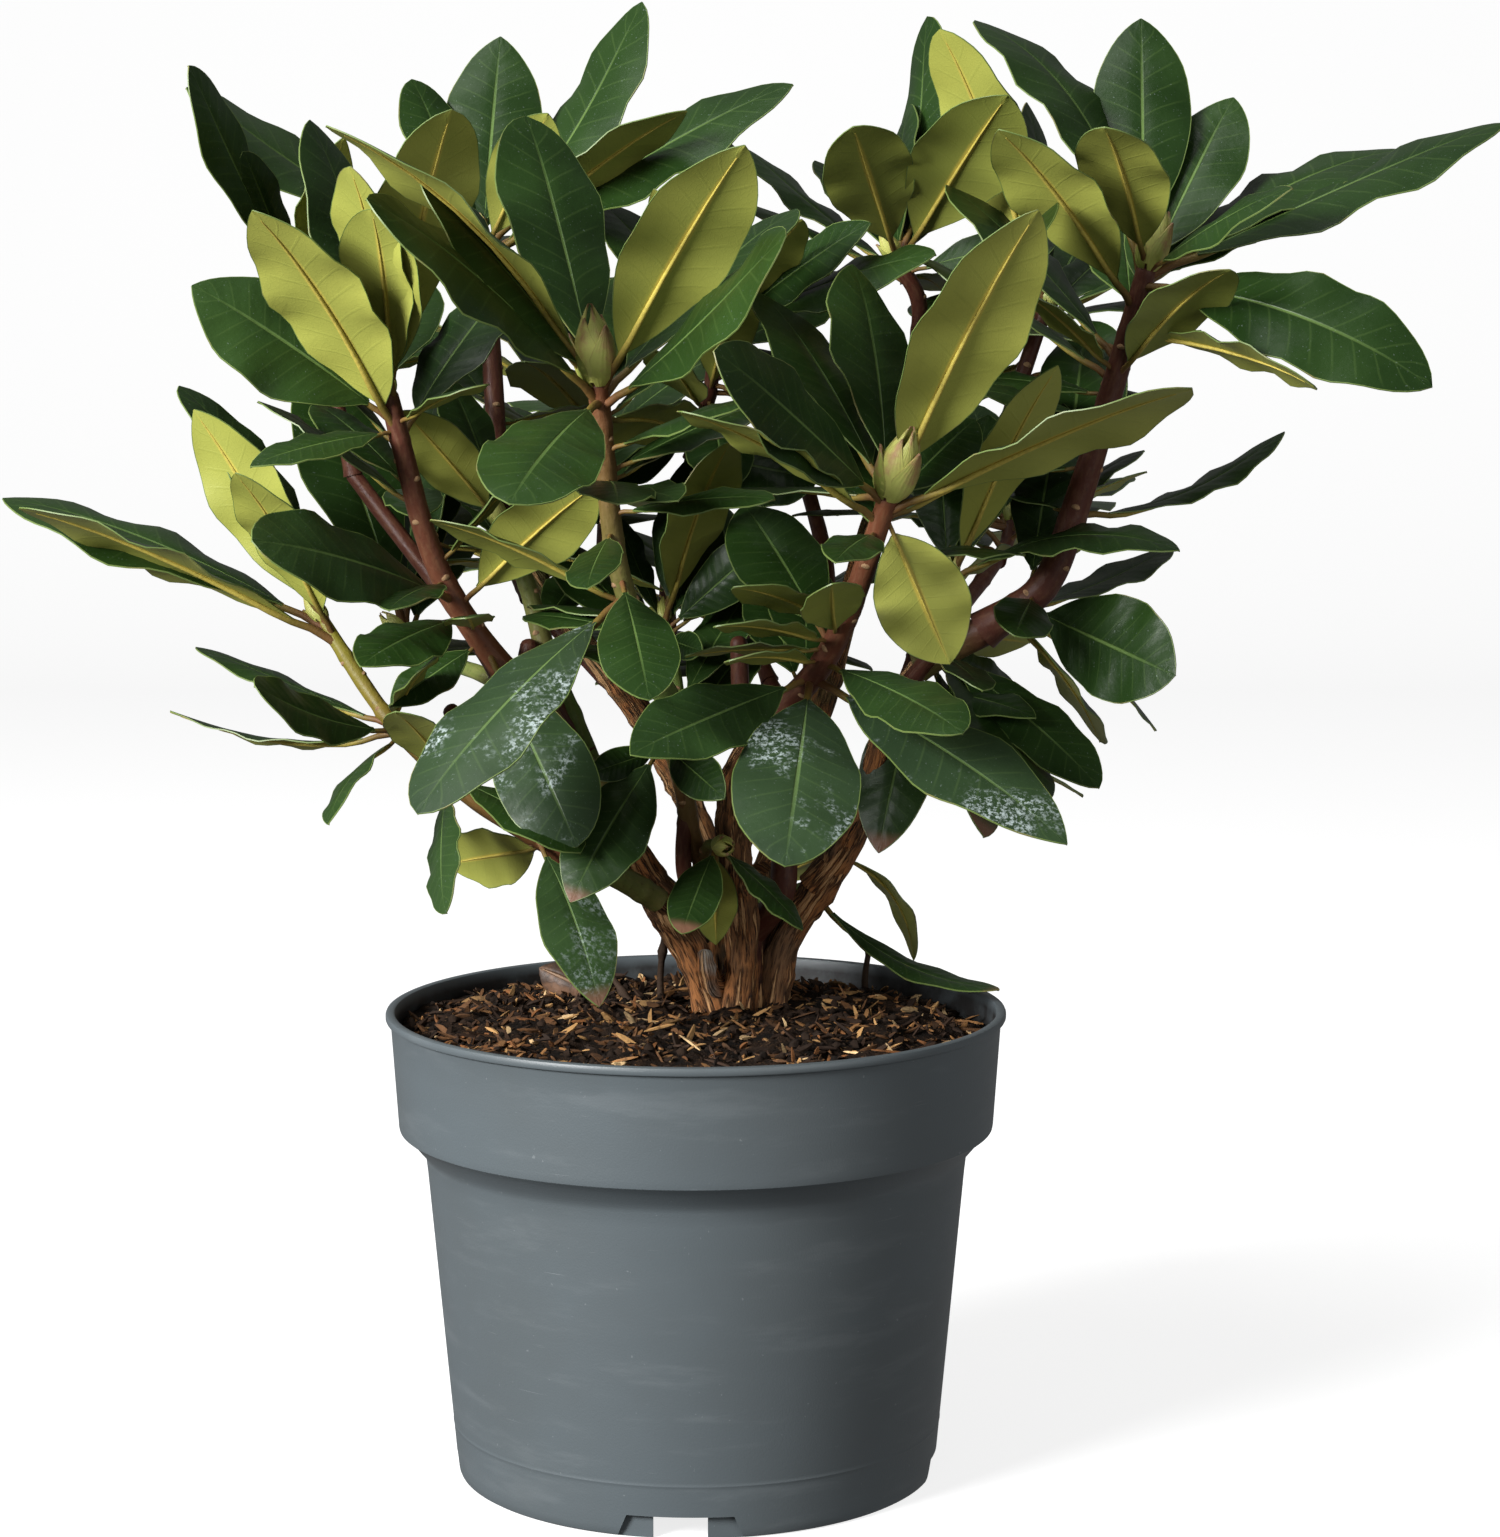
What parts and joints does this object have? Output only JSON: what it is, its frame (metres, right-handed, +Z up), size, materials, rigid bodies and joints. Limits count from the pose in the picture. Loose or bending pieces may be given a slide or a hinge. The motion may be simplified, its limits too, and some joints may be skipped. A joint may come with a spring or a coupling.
{
  "type": "potted rhododendron",
  "caption": "Evergreen rhododendron with leathery leaves on forked stems, growing in a round tapered nursery pot with a deep rim band.",
  "frame": {"origin": "middle of the whole plant's footprint, on the plane of the pot's underside", "axes": "+Z up, +X to the right as seen from the front, -Y towards the front"},
  "size_m": [0.5404, 0.419, 0.5506],
  "materials": {
    "pot_plastic": "matte, blue grey",
    "soil": "rough, crumbly",
    "bark": "rough, peeling",
    "foliage": "semi-gloss leaves"
  },
  "bodies": {
    "root": {"pot": "pot_plastic", "soil": "soil", "trunk": "bark", "bough_left": "bark", "bough_middle": "bark", "bough_right": "bark", "bough_back": "bark", "bough_back_left": "bark", "bough_centre": "bark", "bough_left_upper": "bark", "bough_left_low": "bark", "bough_left_inner": "bark", "bough_left_rear": "bark", "bough_left_crest": "bark", "bough_right_upper": "bark", "bough_right_back": "bark", "bough_crest": "bark", "bough_rear_left": "bark", "bough_rear_centre": "bark", "bough_rear_low": "bark", "bough_rear_foot": "bark", "bough_rear_right": "bark", "foliage_front_centre": "foliage", "foliage_left": "foliage", "foliage_front_right": "foliage", "foliage_right": "foliage", "foliage_top": "foliage", "foliage_back_left": "foliage", "foliage_far_left": "foliage", "foliage_left_crest": "foliage", "foliage_left_rear": "foliage", "foliage_inner_left": "foliage", "foliage_right_crest": "foliage", "foliage_inner_right": "foliage", "foliage_low_right": "foliage", "foliage_crest": "foliage", "foliage_heart": "foliage", "foliage_low_front": "foliage", "foliage_low_centre": "foliage", "foliage_foot_right": "foliage", "foliage_rear_left": "foliage", "foliage_rear_centre": "foliage", "foliage_rear_low": "foliage", "foliage_rear_foot": "foliage", "foliage_rear_right": "foliage"}
  },
  "joints": []
}
